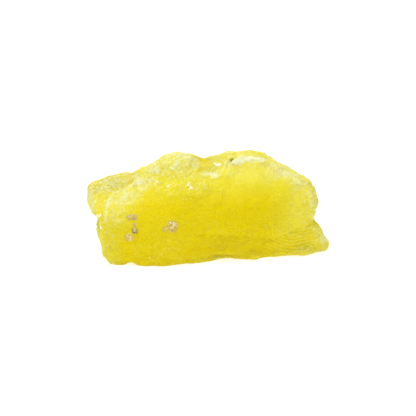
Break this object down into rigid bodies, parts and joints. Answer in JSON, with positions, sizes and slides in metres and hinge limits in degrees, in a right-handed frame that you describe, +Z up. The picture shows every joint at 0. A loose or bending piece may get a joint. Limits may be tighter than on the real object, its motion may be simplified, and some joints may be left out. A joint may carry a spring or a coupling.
{
  "type": "brucite mineral specimen",
  "caption": "Loaf-shaped hand specimen of translucent yellow brucite with rounded knobs, a ledge and a foot, broken ends and a flat underside, for display on a surface",
  "frame": {"origin": "middle of the underside of the bounding box, on the flat broken face that the specimen rests on", "axes": "+Z up, +X along the length of the specimen towards its low foot, -Y towards the smooth rolled face"},
  "size_m": [0.0602, 0.0254, 0.0238],
  "materials": {
    "brucite": "waxy to sugary translucent lemon yellow, frosted on ridges and thin edges"
  },
  "bodies": {
    "root": {"brucite": "brucite"}
  },
  "joints": []
}
